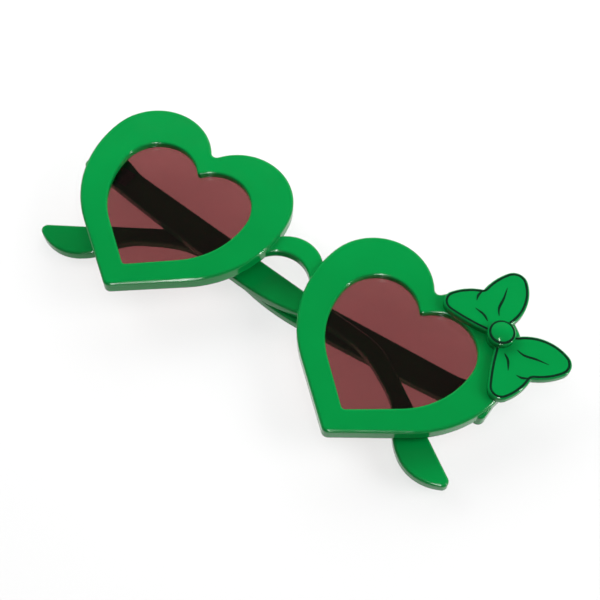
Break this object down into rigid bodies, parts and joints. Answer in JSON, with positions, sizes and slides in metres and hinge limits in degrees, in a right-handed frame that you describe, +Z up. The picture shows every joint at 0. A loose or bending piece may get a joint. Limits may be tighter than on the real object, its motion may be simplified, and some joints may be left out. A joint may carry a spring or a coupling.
{
  "type": "heart shaped sunglasses",
  "caption": "Novelty sunglasses with heart shaped rims and tinted lenses, an arched bridge, a ribbon bow on the outer corner and temples that fold on screw hinges.",
  "frame": {"origin": "on the table, under the folded right temple's outer face, on the middle plane between the hearts", "axes": "+X along the width towards the heart with the bow, +Y from the heart tips towards their notches, +Z up, out of the front's face"},
  "size_m": [0.1558, 0.0716, 0.018],
  "materials": {
    "frame_plastic": "gloss green moulding",
    "temple_plastic": "gloss green moulding",
    "bow_plastic": "gloss green moulding with dark drawn pleats",
    "lens_tint": "clear burgundy tint",
    "hinge_metal": "plain"
  },
  "bodies": {
    "front": {"front_frame": "frame_plastic", "lens_left": "lens_tint", "lens_right": "lens_tint", "hinge_front_leaf_left": "hinge_metal", "hinge_front_leaf_right": "hinge_metal", "hinge_screw_left": "hinge_metal", "hinge_screw_right": "hinge_metal", "bow": "bow_plastic", "bow_knot": "bow_plastic"},
    "temple_left": {"temple_left": "temple_plastic", "hinge_temple_leaf_left": "hinge_metal"},
    "temple_right": {"temple_right": "temple_plastic", "hinge_temple_leaf_right": "hinge_metal"}
  },
  "joints": [
    {"name": "left_hinge", "type": "hinge", "parent": "front", "child": "temple_left", "pos_m": [-0.06609, 0.0054, 0.00825], "axis": [0, 1, 0], "range_deg": [0, 92.5]},
    {"name": "right_hinge", "type": "hinge", "parent": "front", "child": "temple_right", "pos_m": [0.06609, 0.0054, 0.0047], "axis": [0, -1, 0], "range_deg": [0, 89.5]}
  ]
}
